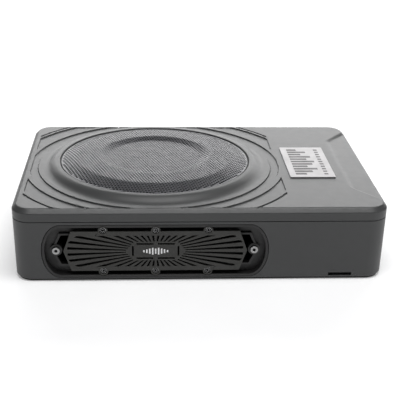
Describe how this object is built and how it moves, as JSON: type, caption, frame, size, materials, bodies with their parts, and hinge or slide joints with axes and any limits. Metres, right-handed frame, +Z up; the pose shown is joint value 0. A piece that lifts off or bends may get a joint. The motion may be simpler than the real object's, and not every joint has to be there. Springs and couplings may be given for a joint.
{
  "type": "powered car subwoofer",
  "caption": "Slim under-seat powered subwoofer: two-shell plastic housing, domed round grille over a driver, sunburst vent panel in front, built-in amplifier with rear controls.",
  "frame": {"origin": "middle of the underside's bounding box", "axes": "+X to the right seen from the vent panel, +Y from the vent panel back to the control panel, +Z up"},
  "size_m": [0.345, 0.24, 0.082],
  "materials": {
    "housing_plastic": "fine moulded grain, charcoal grey",
    "black_steel": "fine texture black powder coat",
    "gasket_rubber": "closed-cell foam rubber",
    "screw_steel": "zinc plated",
    "grille_steel": "perforated, satin grey paint",
    "badge_aluminium": "satin, with a printed pattern",
    "bezel_plastic": "semi-matt black moulding",
    "vent_plastic": "fine matt dark grey",
    "white_print": "white print",
    "basket_steel": "black coated pressed steel",
    "surround_rubber": "soft butyl rubber",
    "cone_pulp": "pressed pulp cone, dyed black",
    "dust_cap_plastic": "satin black",
    "spider_cloth": "resin-treated woven cloth",
    "former_aluminium": "thin sheet",
    "copper": "enamelled copper windings",
    "motor_steel": "zinc plated mild steel",
    "ferrite": "sintered ferrite",
    "phenolic": "phenolic sheet",
    "wire_insulation": "soft red insulation",
    "circuit_board": "solder mask green",
    "standoff_brass": "turned brass",
    "inductor_core": "lacquered toroid",
    "capacitor_sleeve": "shrink sleeve",
    "chip_epoxy": "black moulding",
    "heatsink_aluminium": "extruded",
    "pot_metal": "pressed can",
    "knob_plastic": "ribbed black plastic",
    "lever_plastic": "white plastic",
    "nickel": "nickel plated",
    "rca_plastic": "white insulator",
    "gold_contact": "gold plated",
    "socket_nylon": "natural nylon",
    "fuse_plastic": "translucent green",
    "led_lens": "diffused blue lens"
  },
  "bodies": {
    "housing": {"upper_cover": "housing_plastic", "lower_housing": "housing_plastic", "base_plate": "black_steel", "housing_gasket": "gasket_rubber", "cover_screws": "screw_steel", "base_plate_screws": "screw_steel", "bracket_nuts": "screw_steel", "grille_mesh": "grille_steel", "name_badge": "badge_aluminium", "front_bezel": "bezel_plastic", "vent_grille": "vent_plastic", "vent_emblem": "white_print", "vent_grille_screws": "screw_steel", "bezel_screws": "screw_steel", "basket": "basket_steel", "basket_gasket": "gasket_rubber", "surround": "surround_rubber", "spider": "spider_cloth", "top_plate": "motor_steel", "magnet": "ferrite", "yoke": "motor_steel", "driver_screws": "screw_steel", "terminal_strip": "phenolic", "speaker_lead": "wire_insulation", "amplifier_board": "circuit_board", "board_standoffs": "standoff_brass", "amplifier_screws": "screw_steel", "transformer": "copper", "filter_inductors": "inductor_core", "capacitors": "capacitor_sleeve", "power_transistors": "chip_epoxy", "transistor_clamp": "screw_steel", "heatsink": "heatsink_aluminium", "control_board": "circuit_board", "rear_panel": "black_steel", "rear_panel_screws": "screw_steel", "potentiometers": "pot_metal", "switch_bodies": "chip_epoxy", "rca_shells": "nickel", "rca_insulators": "rca_plastic", "rca_contacts": "gold_contact", "high_level_socket": "socket_nylon", "remote_socket": "chip_epoxy", "socket_pins": "gold_contact", "power_terminal_block": "chip_epoxy", "terminal_screws": "nickel", "fuse_holder": "chip_epoxy", "fuse": "fuse_plastic", "power_led": "led_lens"},
    "cone_assembly": {"cone": "cone_pulp", "dust_cap": "dust_cap_plastic", "coil_former": "former_aluminium", "voice_coil": "copper"},
    "gain_control": {"gain_knob": "knob_plastic"},
    "lowpass_control": {"lowpass_knob": "knob_plastic"},
    "bass_boost_control": {"bass_boost_knob": "knob_plastic"},
    "phase_switch": {"phase_switch_lever": "lever_plastic"},
    "auto_on_switch": {"auto_on_switch_lever": "lever_plastic"}
  },
  "joints": [
    {"name": "cone_travel", "type": "slide", "parent": "housing", "child": "cone_assembly", "axis": [0, 0, 1], "range_m": [-0.006, 0.006], "stiffness_N_per_m": 4800, "deforming": ["surround", "spider"]},
    {"name": "gain_turn", "type": "hinge", "parent": "housing", "child": "gain_control", "pos_m": [0.128, 0.112, 0.043], "axis": [0, 1, 0], "range_deg": [-140, 140]},
    {"name": "lowpass_turn", "type": "hinge", "parent": "housing", "child": "lowpass_control", "pos_m": [0.109, 0.112, 0.043], "axis": [0, 1, 0], "range_deg": [-140, 140]},
    {"name": "bass_boost_turn", "type": "hinge", "parent": "housing", "child": "bass_boost_control", "pos_m": [0.09, 0.112, 0.043], "axis": [0, 1, 0], "range_deg": [-140, 140]},
    {"name": "phase_slide", "type": "slide", "parent": "housing", "child": "phase_switch", "axis": [1, 0, 0], "range_m": [0, 0.003]},
    {"name": "auto_on_slide", "type": "slide", "parent": "housing", "child": "auto_on_switch", "axis": [1, 0, 0], "range_m": [0, 0.003]}
  ]
}
